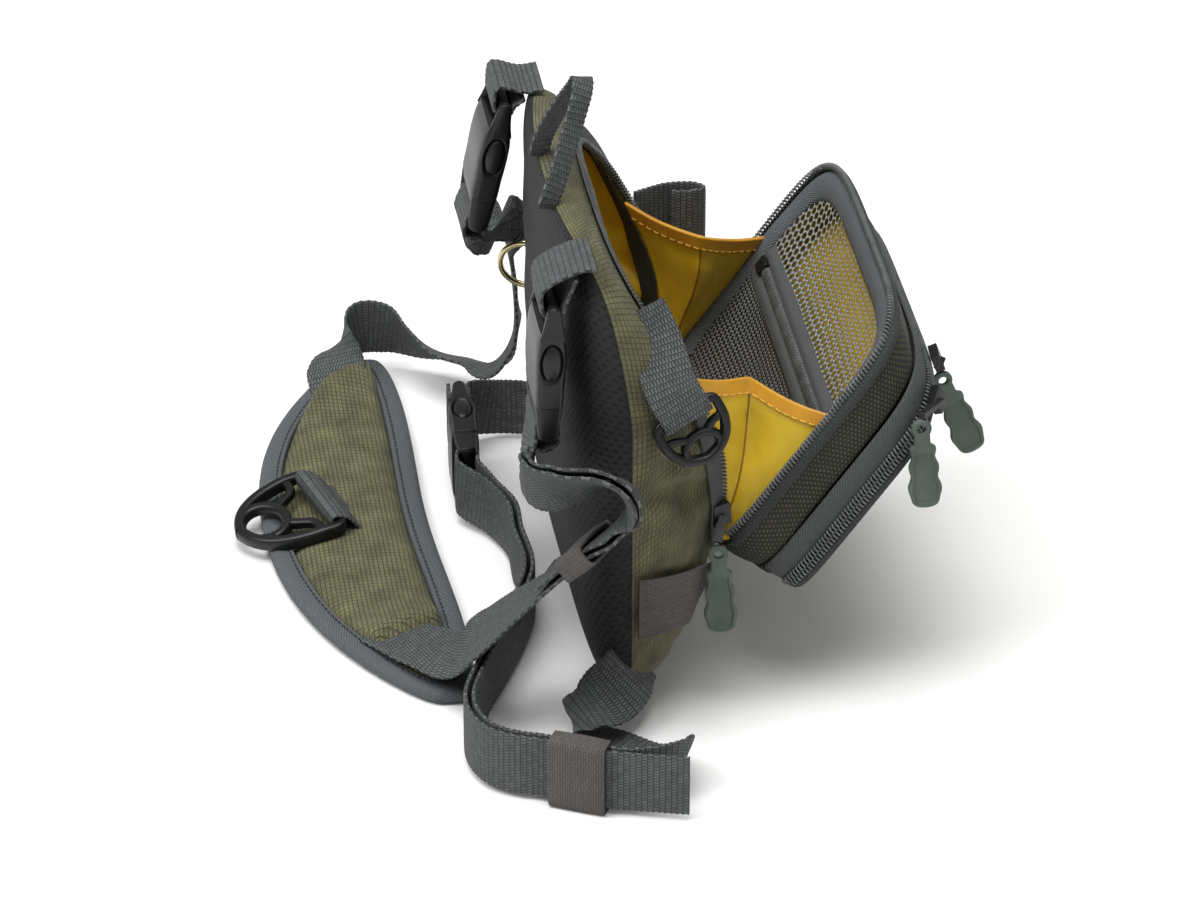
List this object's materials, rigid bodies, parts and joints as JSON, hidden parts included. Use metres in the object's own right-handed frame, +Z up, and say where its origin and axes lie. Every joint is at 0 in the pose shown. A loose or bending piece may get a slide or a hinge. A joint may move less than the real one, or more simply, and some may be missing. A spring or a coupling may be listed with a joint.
{
  "type": "chest pack",
  "caption": "Open zipped chest pack with folded side gussets, net panels in its front flap, a padded mesh back, a padded neck harness and a waist belt with side-release buckles.",
  "frame": {"origin": "middle of the padded back's rear face, where the pack rests on the wearer's chest", "axes": "+Z up, +Y towards the wearer, the pack opens to -Y"},
  "size_m": [0.3711, 0.2799, 0.2286],
  "materials": {
    "ripstop": "woven olive nylon with a fine raised grid",
    "mesh_black": "black knitted spacer mesh",
    "webbing": "grey ribbed nylon webbing",
    "binding": "grey twill edge tape",
    "lining": "smooth yellow coated nylon",
    "net": "dark open net",
    "net_clear": "pale glossy open net",
    "acetal": "moulded black acetal, satin",
    "zip": "grey tape with a dark nylon coil",
    "rubber": "moulded grey-green rubber",
    "elastic": "fine ribbed elastic",
    "brass": "polished plated wire"
  },
  "bodies": {
    "pack": {"back_pad": "mesh_black", "rear_shell": "ripstop", "flap_shell": "ripstop", "front_pocket": "ripstop", "zip_mouth": "zip", "zip_flap": "zip", "zip_pocket": "zip", "flap_binding": "binding", "flap_net_lower": "net", "flap_net_upper": "net_clear", "zip_inner": "zip", "gusset_near": "lining", "gusset_far": "lining", "buckle_near_socket": "acetal", "buckle_near_plug": "acetal", "buckle_far_socket": "acetal", "buckle_far_plug": "acetal", "buckle_waist_socket": "acetal", "buckle_waist_plug": "acetal", "tab_near": "webbing", "tab_far": "webbing", "hang_loop": "webbing", "neck_strap_near": "webbing", "neck_strap_far": "webbing", "keeper_neck": "elastic", "belt_far": "webbing", "belt_near": "webbing", "keeper_belt": "elastic", "neck_pad": "ripstop", "neck_pad_binding": "binding", "neck_ring_loop": "webbing", "side_tab_near": "webbing", "keeper_side": "elastic", "side_tab_far": "webbing", "metal_ring": "brass", "metal_ring_tab": "webbing", "slider_pocket_a": "acetal", "pull_pocket_a": "rubber", "slider_pocket_b": "acetal", "pull_pocket_b": "rubber", "slider_mouth": "acetal", "pull_mouth": "rubber", "slider_inner": "acetal"},
    "neck_ring": {"neck_ring": "acetal"},
    "side_ring": {"side_ring": "acetal"}
  },
  "joints": [
    {"name": "neck_ring_swing", "type": "hinge", "parent": "pack", "child": "neck_ring", "pos_m": [0.06654, 0.07812, -0.0886], "axis": [0.9505, 0.3066, 0.0511], "range_deg": [0, 100]},
    {"name": "side_ring_swing", "type": "hinge", "parent": "pack", "child": "side_ring", "pos_m": [-0.0928, -0.0424, 0.0306], "axis": [-0.2083, 0.885, -0.4165], "range_deg": [0, 95]}
  ]
}
